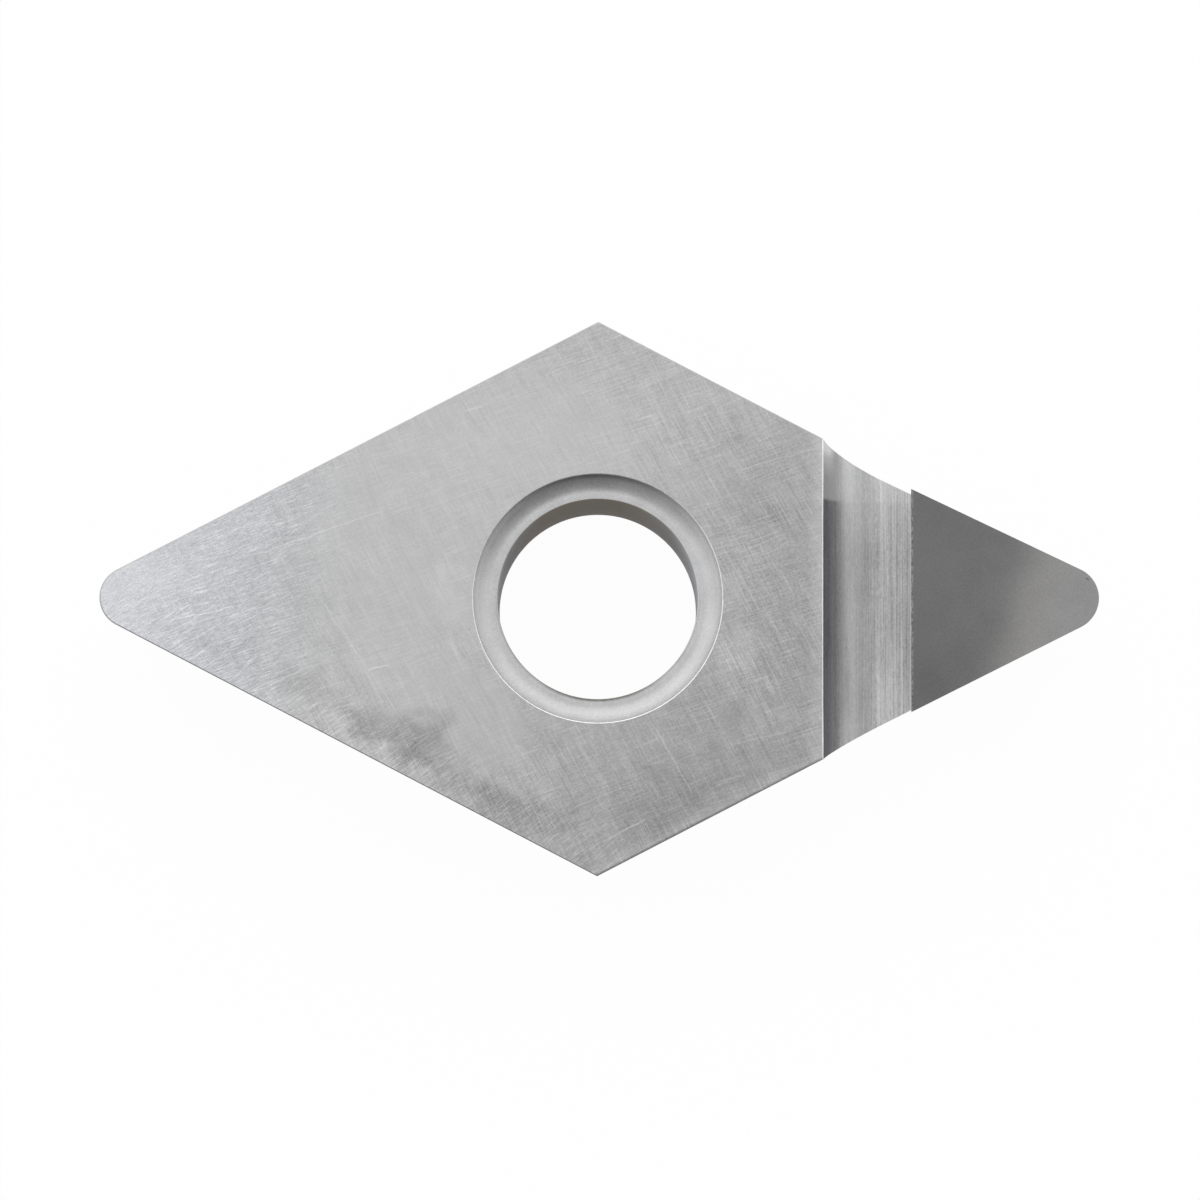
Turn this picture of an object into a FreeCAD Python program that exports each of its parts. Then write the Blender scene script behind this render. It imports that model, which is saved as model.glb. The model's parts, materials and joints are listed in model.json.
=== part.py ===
import FreeCAD, Part
import enum
import math
import os
import Sketcher

# Rhombic turning insert with a brazed diamond corner, in millimetres and degrees.
# The bore's axis is +Z, the seat face lies on z = 0 and the diamond corner points along +X.
# The flanks of all three pieces are one grinding: they share one outline and one clearance angle.

# Driving dimensions: each name is an alias in the sheet.
SIZES = {
    # Outline, measured at the level of the top face
    "inscribed_circle": 12.7,
    "acute_angle": 55.0,
    "nose_radius": 0.8,
    "thickness": 4.76,
    "clearance_angle": 7.0,
    "edge_hone": 0.03,
    # Bore, with a shallow dish round its mouth and a broken edge at the seat face
    "bore_radius": 2.58,
    "bore_break": 0.15,
    "dish_land": 0.18,
    "dish_curve": 0.5,
    "dish_depth": 0.28,
    # Chip recess ground across the insert behind the tip
    "recess_start": 5.8,
    "recess_radius": 1.4,
    "recess_depth": 1.18,
    # Diamond tip and the braze that holds it in its seat
    "rake_angle": 10.0,
    "tip_back": 8.08,
    "tip_back_drop": 0.46,
    "tip_thickness": 1.6,
    "braze_thickness": 0.1,
}

# How far a cut runs past the face that it opens, so that no skin is left
OVERRUN = 1.0
# Two levels or slopes closer than this are the same
ALIKE = 1e-6

# Formulas on the sheet's values
HALF_LENGTH = "sizes.inscribed_circle / (2 * sin(sizes.acute_angle / 2))"
RAKE_EDGE_LEVEL = "sizes.thickness - sizes.tip_back_drop"
SEAT_DEPTH = "(sizes.tip_thickness + sizes.braze_thickness)"
PAST_THE_NOSE = f"{HALF_LENGTH} + {OVERRUN}"
ALL_ROUND = f"3 * {HALF_LENGTH}"
# A level that the rake face stays under, out to the nose
TALLEST = f"sizes.thickness + {HALF_LENGTH} * tan(sizes.rake_angle)"

NORMAL = FreeCAD.Vector(0, 0, 1)


class At(enum.IntEnum):
    """How a sketch refers to the ends and the centre of its lines and arcs."""

    START = enum.auto()
    END = enum.auto()
    CENTRE = enum.auto()


class Axis(enum.IntEnum):
    """How a sketch refers to its own axes."""

    X = -1
    Y = -2


ORIGIN_POINT = (Axis.X, At.START)


def make_sheet(doc):
    """The sheet of driving dimensions: a name in each row, and its value beside it."""
    sheet = doc.addObject("Spreadsheet::Sheet", "sizes")
    for row, (alias, value) in enumerate(SIZES.items(), start=1):
        sheet.set(f"A{row}", alias)
        sheet.set(f"B{row}", str(value))
        sheet.setAlias(f"B{row}", alias)
    doc.recompute()


def vector(x, y):
    """A point in a sketch's plane."""
    return FreeCAD.Vector(x, y, 0)


def new_sketch(body, name, plane):
    """A sketch on one of the body's own origin planes."""
    sketch = body.newObject("Sketcher::SketchObject", name)
    role = {feature.Role: feature for feature in body.Origin.OriginFeatures}
    sketch.AttachmentSupport = [(role[plane], "")]
    sketch.MapMode = "FlatFace"
    return sketch


def dimension(sketch, name, kind, places, formula):
    """A named dimension that follows a formula on the sheet."""
    value = float(sketch.evalExpression(formula))
    if kind == "Angle":
        value = math.radians(value)
    index = sketch.addConstraint(Sketcher.Constraint(kind, *places, value))
    sketch.renameConstraint(index, name)
    sketch.setExpression(f"Constraints.{name}", formula)


def place_point(sketch, name, geometry, position, across, up):
    """Ties a point of the sketch to two formulas, one for each of its coordinates."""
    dimension(sketch, f"{name}_across", "DistanceX", (*ORIGIN_POINT, geometry, position), across)
    dimension(sketch, f"{name}_up", "DistanceY", (*ORIGIN_POINT, geometry, position), up)


def join_chain(sketch, chain, closed=True):
    """Joins the end of each line or arc to the start of the next one."""
    following = chain[1:] + chain[:1] if closed else chain[1:]
    for one, other in zip(chain, following):
        sketch.addConstraint(Sketcher.Constraint("Coincident", one, At.END, other, At.START))


def add_rectangle(sketch, name, low, high):
    """A rectangle with its low and high corners tied to two pairs of formulas."""
    left, bottom = (float(sketch.evalExpression(formula)) for formula in low)
    right, top = (float(sketch.evalExpression(formula)) for formula in high)
    corners = [vector(left, bottom), vector(right, bottom), vector(right, top), vector(left, top)]
    sides = [
        sketch.addGeometry(Part.LineSegment(one, other))
        for one, other in zip(corners, corners[1:] + corners[:1])
    ]
    join_chain(sketch, sides)
    for side, way in zip(sides, ("Horizontal", "Vertical", "Horizontal", "Vertical")):
        sketch.addConstraint(Sketcher.Constraint(way, side))
    place_point(sketch, f"{name}_low", sides[0], At.START, *low)
    place_point(sketch, f"{name}_high", sides[2], At.START, *high)


def add_outline(sketch):
    """The rhombus at the top face's level, rounded at both acute corners."""
    touch = SIZES["inscribed_circle"] / 2
    nose = SIZES["nose_radius"]
    half = math.radians(SIZES["acute_angle"] / 2)
    apex = vector(0, touch / math.cos(half))
    centre = vector((touch - nose) / math.sin(half), 0)
    east_high = centre + vector(nose * math.sin(half), nose * math.cos(half))
    east_low = vector(east_high.x, -east_high.y)
    sweep = math.pi / 2 - half

    north_east = sketch.addGeometry(Part.LineSegment(apex, east_high))
    east = sketch.addGeometry(Part.ArcOfCircle(Part.Circle(centre, NORMAL, nose), -sweep, sweep))
    south_east = sketch.addGeometry(Part.LineSegment(-apex, east_low))
    south_west = sketch.addGeometry(Part.LineSegment(-east_high, -apex))
    west = sketch.addGeometry(
        Part.ArcOfCircle(Part.Circle(-centre, NORMAL, nose), math.pi - sweep, math.pi + sweep)
    )
    north_west = sketch.addGeometry(Part.LineSegment(-east_low, apex))

    sketch.addConstraint(
        [
            Sketcher.Constraint("Tangent", north_east, At.END, east, At.END),
            Sketcher.Constraint("Tangent", south_east, At.END, east, At.START),
            Sketcher.Constraint("Tangent", south_west, At.START, west, At.END),
            Sketcher.Constraint("Tangent", north_west, At.START, west, At.START),
            Sketcher.Constraint("Coincident", north_west, At.END, north_east, At.START),
            Sketcher.Constraint("Coincident", south_west, At.END, south_east, At.START),
            Sketcher.Constraint("PointOnObject", north_east, At.START, Axis.Y),
            Sketcher.Constraint("PointOnObject", south_east, At.START, Axis.Y),
            Sketcher.Constraint("PointOnObject", east, At.CENTRE, Axis.X),
            Sketcher.Constraint("PointOnObject", west, At.CENTRE, Axis.X),
            Sketcher.Constraint("Equal", east, west),
            Sketcher.Constraint("Equal", north_east, north_west),
            Sketcher.Constraint("Parallel", south_east, north_west),
        ]
    )
    touching = (*ORIGIN_POINT, north_east)
    dimension(sketch, "half_acute_angle", "Angle", (north_west,), "sizes.acute_angle / 2")
    dimension(sketch, "inscribed_radius", "Distance", touching, "sizes.inscribed_circle / 2")
    dimension(sketch, "nose", "Radius", (east,), "sizes.nose_radius")


def side_faces(shape):
    """The names of the faces that stand upright."""
    return [
        f"Face{number}"
        for number, face in enumerate(shape.Faces, start=1)
        if abs(face.normalAt(0, 0).z) < ALIKE
    ]


def grind_flanks(body, height):
    """The outline drawn up from the seat face, with its sides leaning in below the top level."""
    doc = body.Document
    outline = new_sketch(body, f"{body.Name}_outline", "XY_Plane")
    add_outline(outline)
    blank = body.newObject("PartDesign::Pad", f"{body.Name}_blank")
    blank.Profile = outline
    blank.setExpression("Length", height)
    top_level = body.newObject("PartDesign::Plane", f"{body.Name}_top_level")
    top_level.AttachmentSupport = outline.AttachmentSupport
    top_level.MapMode = "FlatFace"
    top_level.setExpression("AttachmentOffset.Base.z", "sizes.thickness")
    doc.recompute()

    flanks = body.newObject("PartDesign::Draft", f"{body.Name}_flanks")
    flanks.Base = (blank, side_faces(blank.Shape))
    flanks.NeutralPlane = (top_level, [""])
    flanks.Reversed = True
    flanks.setExpression("Angle", "sizes.clearance_angle")
    doc.recompute()
    return flanks


def cut_across(body, name, sketch):
    """Cuts a side profile right through the body, along Y."""
    pocket = body.newObject("PartDesign::Pocket", name)
    pocket.Profile = sketch
    pocket.SideType = "Symmetric"
    pocket.Type = "ThroughAll"


def tip_frame_sketch(body, name):
    """A side sketch whose X runs along the rake face from the tip's back edge, and Y out of it."""
    sketch = new_sketch(body, name, "XZ_Plane")
    sketch.AttachmentOffset = FreeCAD.Placement(vector(0, 0), FreeCAD.Rotation(NORMAL, 1))
    sketch.setExpression("AttachmentOffset.Base.x", "sizes.tip_back")
    sketch.setExpression("AttachmentOffset.Base.y", RAKE_EDGE_LEVEL)
    sketch.setExpression("AttachmentOffset.Rotation.Angle", "sizes.rake_angle")
    return sketch


def waste_sketch(body):
    """A side sketch of all that lies round the tip, where the piece to be kept is still to be drawn."""
    sketch = tip_frame_sketch(body, f"{body.Name}_side")
    add_rectangle(sketch, "waste", (f"-({ALL_ROUND})", f"-({ALL_ROUND})"), (ALL_ROUND, ALL_ROUND))
    return sketch


def cut_recess(body):
    """The chip recess: a round groove that runs out along a floor parallel to the rake face."""
    sketch = new_sketch(body, f"{body.Name}_recess_side", "XZ_Plane")
    radius = SIZES["recess_radius"]
    top = SIZES["thickness"]
    centre = vector(
        SIZES["recess_start"] + math.sqrt(radius**2 - (radius - SIZES["recess_depth"]) ** 2),
        top - SIZES["recess_depth"] + radius,
    )
    edge = vector(SIZES["recess_start"], top)
    rake = math.radians(SIZES["rake_angle"])
    lowest = centre + vector(math.sin(rake), -math.cos(rake)) * radius
    far = float(sketch.evalExpression(PAST_THE_NOSE))
    floor_end = vector(far, lowest.y + (far - lowest.x) * math.tan(rake))
    high = float(sketch.evalExpression(f"{TALLEST} + {OVERRUN}"))

    start_angle = math.atan2(edge.y - centre.y, edge.x - centre.x) % (2 * math.pi)
    circle = Part.Circle(centre, NORMAL, radius)
    groove = sketch.addGeometry(Part.ArcOfCircle(circle, start_angle, 1.5 * math.pi + rake))
    floor = sketch.addGeometry(Part.LineSegment(lowest, floor_end))
    right = sketch.addGeometry(Part.LineSegment(floor_end, vector(far, high)))
    lid = sketch.addGeometry(Part.LineSegment(vector(far, high), vector(edge.x, high)))
    left = sketch.addGeometry(Part.LineSegment(vector(edge.x, high), edge))
    sketch.addConstraint(Sketcher.Constraint("Tangent", groove, At.END, floor, At.START))
    join_chain(sketch, [floor, right, lid, left, groove], closed=False)
    for side, way in ((right, "Vertical"), (lid, "Horizontal"), (left, "Vertical")):
        sketch.addConstraint(Sketcher.Constraint(way, side))
    place_point(sketch, "edge", left, At.END, "sizes.recess_start", "sizes.thickness")
    dimension(sketch, "groove_radius", "Radius", (groove,), "sizes.recess_radius")
    dimension(
        sketch,
        "groove_centre_up",
        "DistanceY",
        (*ORIGIN_POINT, groove, At.CENTRE),
        "sizes.thickness - sizes.recess_depth + sizes.recess_radius",
    )
    dimension(sketch, "floor_slope", "Angle", (floor,), "sizes.rake_angle")
    place_point(sketch, "lid", right, At.END, PAST_THE_NOSE, f"{TALLEST} + {OVERRUN}")
    cut_across(body, f"{body.Name}_recess", sketch)


def hone_top_edges(body, flanks):
    """A fine bevel along the edges where the top face meets the flanks."""
    top = SIZES["thickness"]
    names = [
        f"Edge{number}"
        for number, edge in enumerate(flanks.Shape.Edges, start=1)
        if all(abs(end.Point.z - top) < ALIKE for end in edge.Vertexes)
    ]
    hone = body.newObject("PartDesign::Chamfer", "edge_hone")
    hone.Base = (flanks, names)
    hone.setExpression("Size", "sizes.edge_hone")


def cut_bore(body):
    """The bore, turned together with the dish at its mouth and the break at the seat face."""
    sketch = new_sketch(body, "bore_side", "XZ_Plane")
    radius = SIZES["bore_radius"]
    break_run = SIZES["bore_break"] + OVERRUN
    dish_level = SIZES["thickness"] - SIZES["dish_depth"]
    high = SIZES["thickness"] + OVERRUN
    curve = SIZES["dish_curve"]
    dish_start = vector(radius + SIZES["dish_land"], dish_level)
    dish_centre = dish_start + vector(0, curve)
    dish_turn = math.acos(1 - SIZES["dish_depth"] / curve)
    mouth = vector(dish_start.x + curve * math.sin(dish_turn), SIZES["thickness"])

    def line(one, other):
        return sketch.addGeometry(Part.LineSegment(one, other))

    below = line(vector(0, -OVERRUN), vector(radius + break_run, -OVERRUN))
    slope = line(vector(radius + break_run, -OVERRUN), vector(radius, SIZES["bore_break"]))
    wall = line(vector(radius, SIZES["bore_break"]), vector(radius, dish_level))
    land = line(vector(radius, dish_level), dish_start)
    circle = Part.Circle(dish_centre, NORMAL, curve)
    dish = sketch.addGeometry(Part.ArcOfCircle(circle, 1.5 * math.pi, 1.5 * math.pi + dish_turn))
    rise = line(mouth, vector(mouth.x, high))
    above = line(vector(mouth.x, high), vector(0, high))
    axis = line(vector(0, high), vector(0, -OVERRUN))
    join_chain(sketch, [dish, rise, above, axis, below, slope, wall, land], closed=False)
    sketch.addConstraint(Sketcher.Constraint("Tangent", land, At.END, dish, At.START))
    for side, way in (
        (below, "Horizontal"),
        (wall, "Vertical"),
        (land, "Horizontal"),
        (rise, "Vertical"),
        (above, "Horizontal"),
    ):
        sketch.addConstraint(Sketcher.Constraint(way, side))
    sketch.addConstraint(Sketcher.Constraint("PointOnObject", axis, At.START, Axis.Y))
    place_point(sketch, "below", below, At.START, "0", f"-{OVERRUN}")
    dimension(sketch, "bore_radius", "DistanceX", (*ORIGIN_POINT, wall, At.START), "sizes.bore_radius")
    dimension(sketch, "bore_break", "DistanceY", (*ORIGIN_POINT, wall, At.START), "sizes.bore_break")
    dimension(
        sketch,
        "break_reach",
        "DistanceX",
        (*ORIGIN_POINT, below, At.END),
        f"sizes.bore_radius + sizes.bore_break + {OVERRUN}",
    )
    dimension(sketch, "land_width", "DistanceX", (land, At.START, land, At.END), "sizes.dish_land")
    dimension(
        sketch,
        "land_level",
        "DistanceY",
        (*ORIGIN_POINT, land, At.START),
        "sizes.thickness - sizes.dish_depth",
    )
    dimension(sketch, "dish_curve", "Radius", (dish,), "sizes.dish_curve")
    dimension(sketch, "mouth_level", "DistanceY", (*ORIGIN_POINT, dish, At.END), "sizes.thickness")
    dimension(
        sketch,
        "lid_level",
        "DistanceY",
        (*ORIGIN_POINT, rise, At.END),
        f"sizes.thickness + {OVERRUN}",
    )
    bore = body.newObject("PartDesign::Groove", "bore")
    bore.Profile = sketch
    bore.ReferenceAxis = (sketch, ["V_Axis"])
    bore.Angle = 360


def make_insert_body(doc):
    """The carbide body: flanks, top face, tip seat, chip recess and dished bore."""
    body = doc.addObject("PartDesign::Body", "insert_body")
    flanks = grind_flanks(body, "sizes.thickness")
    hone_top_edges(body, flanks)

    seat = tip_frame_sketch(body, "tip_seat_side")
    add_rectangle(
        seat,
        "seat",
        ("-sizes.braze_thickness", f"-{SEAT_DEPTH}"),
        (PAST_THE_NOSE, f"sizes.thickness + {OVERRUN}"),
    )
    cut_across(body, "tip_seat", seat)
    cut_recess(body)
    cut_bore(body)
    return body


def make_diamond_tip(doc):
    """The tip: a plate laid at the rake angle, its flanks ground with the body's."""
    body = doc.addObject("PartDesign::Body", "diamond_tip")
    grind_flanks(body, TALLEST)
    side = waste_sketch(body)
    add_rectangle(side, "plate", ("0", "-sizes.tip_thickness"), (PAST_THE_NOSE, "0"))
    cut_across(body, "plate_side", side)
    return body


def make_braze_seam(doc):
    """The braze: an L-shaped film under and behind the tip, ground flush with the recess floor."""
    body = doc.addObject("PartDesign::Body", "braze_seam")
    grind_flanks(body, TALLEST)
    side = waste_sketch(body)
    far = float(side.evalExpression(PAST_THE_NOSE))
    film = SIZES["braze_thickness"]
    plate = SIZES["tip_thickness"]
    corners = [
        vector(-film, 0),
        vector(-film, -plate - film),
        vector(far, -plate - film),
        vector(far, -plate),
        vector(0, -plate),
        vector(0, 0),
    ]
    edges = [
        side.addGeometry(Part.LineSegment(one, other))
        for one, other in zip(corners, corners[1:] + corners[:1])
    ]
    join_chain(side, edges)
    ways = ("Vertical", "Horizontal", "Vertical", "Horizontal", "Vertical", "Horizontal")
    for edge, way in zip(edges, ways):
        side.addConstraint(Sketcher.Constraint(way, edge))
    place_point(side, "outer", edges[1], At.START, "-sizes.braze_thickness", f"-{SEAT_DEPTH}")
    place_point(side, "inner", edges[4], At.START, "0", "-sizes.tip_thickness")
    dimension(side, "far_end", "DistanceX", (*ORIGIN_POINT, edges[2], At.END), PAST_THE_NOSE)
    dimension(side, "top_end", "DistanceY", (*ORIGIN_POINT, edges[0], At.START), "0")
    cut_across(body, "film_side", side)
    cut_recess(body)
    return body


def check_document(doc, nodes):
    """Stops if an object failed to compute, a cut took nothing or a piece isn't one sound solid."""
    for thing in doc.Objects:
        if "Invalid" in thing.State or "Error" in thing.State:
            raise RuntimeError(f"{thing.Name} didn't compute: {thing.State}")
        is_cut = thing.TypeId in ("PartDesign::Pocket", "PartDesign::Groove")
        if is_cut and thing.Shape.Volume >= thing.BaseFeature.Shape.Volume:
            raise RuntimeError(f"{thing.Name} cut nothing")
    for node in nodes:
        shape = node.Shape
        if shape.isNull() or not shape.isValid() or len(shape.Solids) != 1:
            raise RuntimeError(f"{node.Label} isn't one sound solid")


def main():
    doc = FreeCAD.newDocument("turning_insert")
    make_sheet(doc)
    nodes = [make_insert_body(doc), make_diamond_tip(doc), make_braze_seam(doc)]
    doc.recompute()
    check_document(doc, nodes)
    os.makedirs("parts", exist_ok=True)
    for node in nodes:
        node.Shape.exportStep(f"parts/{node.Label}.step")
        box = node.Shape.optimalBoundingBox(False)
        print(f"{node.Label}: {node.Shape.Volume:.3f} mm3,")
        print(f"  x {box.XMin:.3f} to {box.XMax:.3f}, y {box.YMin:.3f} to {box.YMax:.3f},")
        print(f"  z {box.ZMin:.3f} to {box.ZMax:.3f}")


main()
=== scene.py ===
import json
import math

import bmesh
import bpy
from mathutils import Matrix, Vector


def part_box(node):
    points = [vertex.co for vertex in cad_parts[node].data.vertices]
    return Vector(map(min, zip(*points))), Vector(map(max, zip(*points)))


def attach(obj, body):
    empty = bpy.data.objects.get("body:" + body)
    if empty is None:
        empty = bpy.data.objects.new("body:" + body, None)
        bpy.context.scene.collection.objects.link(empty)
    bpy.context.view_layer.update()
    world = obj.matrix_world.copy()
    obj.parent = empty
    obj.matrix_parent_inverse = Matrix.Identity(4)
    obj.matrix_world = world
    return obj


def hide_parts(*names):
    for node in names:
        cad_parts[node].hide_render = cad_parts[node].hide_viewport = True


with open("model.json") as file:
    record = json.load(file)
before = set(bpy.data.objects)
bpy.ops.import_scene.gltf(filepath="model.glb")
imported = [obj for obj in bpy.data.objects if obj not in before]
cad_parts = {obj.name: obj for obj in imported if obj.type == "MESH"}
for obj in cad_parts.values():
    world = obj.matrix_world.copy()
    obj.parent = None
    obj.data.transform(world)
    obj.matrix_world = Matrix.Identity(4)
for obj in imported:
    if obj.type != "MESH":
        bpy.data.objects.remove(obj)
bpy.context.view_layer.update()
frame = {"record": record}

bl_info = {
    "name": "Diamond-tipped turning insert",
    "version": (1, 0, 0),
    "blender": (4, 5, 0),
    "location": "View3D > Sidebar > Insert",
    "description": "Models and finishes a rhombic carbide insert with a brazed diamond corner",
    "category": "Add Mesh",
}

MM = 0.001
MICRON = 1e-6

# Which way the axes point, for patterns
ALONG = (1, 0, 0)
ACROSS = (0, 1, 0)
# Into how many faces round and long shapes are cut, and how far apart the rows of the recess lie
ACROSS_STEPS = 16
BORE_STEPS = 192
BORE_EDGE_STEPS = 4
DISH_STEPS = 16
MOUTH_STEPS = 3
ROW_SPACING = 0.012 * MM
# How deep the finishes are in their bump
SCRATCH_DEPTH = 0.2 * MICRON
LINE_DEPTH = 0.3 * MICRON
GRAIN_DEPTH = 0.8 * MICRON
# Which of the many patterns of grinding marks is taken
MARK_SEED = 11.0

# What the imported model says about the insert
MOUNTS = {mount["name"]: mount for mount in frame["record"]["mounts"]}
BODY_HIGH = Vector(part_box("insert_body")[1])
TIP_LOW = Vector(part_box("diamond_tip")[0])
FLANK_NORMAL = Vector(MOUNTS["flank_left"]["axis"]).normalized()
FLANK_POINT = Vector(MOUNTS["flank_left"]["pos_m"])
THICKNESS = BODY_HIGH.z
HALF_ACUTE = math.atan2(-FLANK_NORMAL.x, FLANK_NORMAL.y)
CLEARANCE = math.asin(-FLANK_NORMAL.z)
TOUCH_RADIUS = (
    FLANK_POINT.xy.dot(FLANK_NORMAL.xy.normalized())
    + (THICKNESS - FLANK_POINT.z) * math.tan(CLEARANCE)
)
BORE_RADIUS = MOUNTS["bore"]["dims"]["r_mm"] * MM


def length(name, value, about):
    """A size in metres that a user may change."""
    return bpy.props.FloatProperty(
        name=name, description=about, default=value, unit="LENGTH", precision=6
    )


def angle(name, value, about):
    """An angle in radians that a user may change."""
    return bpy.props.FloatProperty(name=name, description=about, default=value, subtype="ANGLE")


def numbers(name, value, about, **kind):
    """Several plain numbers that a user may change."""
    return bpy.props.FloatVectorProperty(
        name=name, description=about, default=value, size=len(value), **kind
    )


def tint(name, value, about):
    """A linear colour that a user may change."""
    return numbers(name, value, about, subtype="COLOR", min=0, max=1)


def amount(name, value, about):
    """A plain number that a user may change."""
    return bpy.props.FloatProperty(name=name, description=about, default=value)


class InsertSizes(bpy.types.PropertyGroup):
    """Sizes of the three pieces."""

    touch_radius: length("Inscribed radius", TOUCH_RADIUS, "Bore axis to each flank at the top")
    half_acute: angle("Half acute angle", HALF_ACUTE, "Half of the angle at the diamond corner")
    thickness: length("Thickness", THICKNESS, "Seat face to top face")
    clearance: angle("Clearance", CLEARANCE, "How far each flank leans in towards the seat")
    nose_radius: length("Nose radius", 0.8 * MM, "Radius of both acute corners at the top")
    hone: length("Edge hone", 0.03 * MM, "Radius along the edges of the top face")
    bore_radius: length("Bore radius", BORE_RADIUS, "Radius of the bore")
    bore_break: length("Bore break", 0.15 * MM, "Bevel where the bore leaves the seat face")
    bore_edge: length("Bore edge", 0.02 * MM, "Rounding where the bore meets the dish")
    dish_land: length("Dish land", 0.18 * MM, "Flat ring round the bore")
    dish_curve: length("Dish curve", 0.5 * MM, "Radius of the dish's hollow wall")
    dish_depth: length("Dish depth", 0.28 * MM, "Depth of the dish")
    dish_edge: length("Dish edge", 0.03 * MM, "Rounding of the dish's rim")
    recess_start: length("Recess start", 5.8 * MM, "Bore axis to the edge of the chip recess")
    recess_radius: length("Recess radius", 1.4 * MM, "Radius of the chip recess")
    recess_depth: length("Recess depth", 1.18 * MM, "Depth of the chip recess")
    rake: angle("Rake", math.radians(10), "Slope of the diamond face")
    tip_back: length("Tip back", TIP_LOW.x, "Bore axis to the back edge of the tip")
    tip_drop: length("Tip back drop", 0.46 * MM, "Top face down to the tip's back edge")
    tip_thickness: length("Tip thickness", 1.6 * MM, "Thickness of the pressed blank")
    diamond_layer: length("Diamond layer", 0.5 * MM, "Thickness of the diamond on the blank")
    braze: length("Braze", 0.1 * MM, "Thickness of the braze film")
    mark_depth: length("Mark depth", 0.8 * MICRON, "Depth of the grinding marks in the recess")
    mark_spacing: length("Mark spacing", 0.03 * MM, "Width of the grinding marks in the recess")


class InsertColours(bpy.types.PropertyGroup):
    """Colours of the finishes."""

    ground: tint("Ground carbide", (0.41, 0.41, 0.41), "Top face")
    nose: tint("Grained carbide", (0.425, 0.43, 0.45), "Top face at the carbide nose")
    # The edge colour is a painted highlight: the bright line where the recess's edge and the dish's
    # rim catch the light
    edge: tint("Edge highlight", (0.75, 0.75, 0.75), "Edges of the recess and the dish")
    flank: tint("Flanks", (0.40, 0.40, 0.41), "Ground flanks")
    recess: tint("Recess", (0.41, 0.41, 0.412), "Floor of the chip recess")
    wall: tint("Recess wall", (0.42, 0.42, 0.45), "Steep wall of the chip recess")
    pressed: tint("Pressed carbide", (0.578, 0.578, 0.584), "Dish round the bore")
    bore: tint("Bore wall", (0.245, 0.212, 0.17), "Far wall of the bore")
    # The colour of the bore's sides is painted light: a paler, greyer copy of the bore's colour
    lit_bore_side: tint("Bore sides", (0.258, 0.262, 0.275), "Wall of the bore at both sides")
    diamond: tint("Diamond", (0.165, 0.165, 0.165), "Polished diamond face")
    diamond_warm: tint("Warm diamond", (0.169, 0.167, 0.161), "Tinted band on the diamond face")
    backing: tint("Backing", (0.36, 0.36, 0.37), "Carbide backing of the tip")
    braze: tint("Braze", (0.42, 0.418, 0.412), "Silver braze")


class StageSettings(bpy.types.PropertyGroup):
    """Camera, lamp and floor."""

    tilt: angle("Tilt", math.radians(4.7), "Camera's lean from straight above, towards -Y")
    roll: angle("Roll", math.radians(0.13), "Turn of the camera about its own axis")
    distance: length("Distance", 200 * MM, "Camera to the point that it aims at")
    view_width: length("View width", 30.86 * MM, "Width of the view at the top face")
    aim_x: length("Aim X", 0.059 * MM, "Point that the camera aims at")
    aim_y: length("Aim Y", -0.046 * MM, "Point that the camera aims at")
    lamp_glow: amount("Lamp glow", 0.75, "Brightness of the soft lamp, where 1 is white")
    lamp_width: length("Lamp width", 73 * MM, "Size of the lamp along its own X")
    lamp_length: length("Lamp length", 170 * MM, "Size of the lamp along its own Y")
    lamp_turn: angle("Lamp turn", math.radians(-18), "Turn of the lamp about Z")
    lamp_place: numbers(
        "Lamp place", (-36 * MM, 40 * MM, 300 * MM), "Middle of the lamp", subtype="TRANSLATION"
    )
    surround: amount("Surround", 0.85, "Brightness of the surround overhead")
    surround_lean: numbers("Surround lean", (-0.12, 0.66), "Added brightness towards X and Y")
    surround_rise: amount("Surround rise", 0.12, "How much brighter the surround is at its foot")
    surround_least: amount("Surround least", 0.42, "Brightness that the surround never goes below")
    floor_size: length("Floor size", 1.0, "Width of the white floor")
    floor_white: tint("Floor white", (0.95, 0.95, 0.95), "Colour of the floor")
    floor_glow: amount("Floor glow", 0.97, "Share of the floor's white that no shadow darkens")


# Shape


class Blank:
    """The ground outline that all three pieces share: a rhombus with rounded acute corners."""

    NOSE_STEPS = 32

    def __init__(self, sizes):
        self.top = sizes.thickness
        self.touch = sizes.touch_radius
        self.nose = sizes.nose_radius
        self.lean = math.tan(sizes.clearance)
        self.sine = math.sin(sizes.half_acute)
        self.cosine = math.cos(sizes.half_acute)
        self.nose_centre = (self.touch - self.nose) / self.sine
        self.sweep = math.pi / 2 - sizes.half_acute

    def flank(self, place, inset=0.0):
        """The point of the +Y flank at a place of the side view, held in by an inset."""
        x, z = place
        touch = self.touch - (self.top - z) * self.lean - inset
        return Vector((x, (touch - abs(x) * self.sine) / self.cosine, z))

    def nose_curve(self, level, slope=0.0, inset=0.0):
        """Where the plane z = level + slope * x cuts the +X nose, from the +Y flank to its middle."""
        points = []
        foot = self.nose - self.top * self.lean - inset
        for step in range(self.NOSE_STEPS + 1):
            turn = self.sweep * (1 - step / self.NOSE_STEPS)
            across = math.cos(turn)
            z = (level + slope * (self.nose_centre + foot * across)) / (1 - slope * self.lean * across)
            radius = foot + z * self.lean
            points.append(Vector((self.nose_centre + radius * across, radius * math.sin(turn), z)))
        return points


def other_side(points):
    """The same points on the -Y side."""
    return [Vector((point.x, -point.y, point.z)) for point in points]


def other_end(points):
    """The same points at the -X end."""
    return [Vector((-point.x, point.y, point.z)) for point in points]


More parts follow.
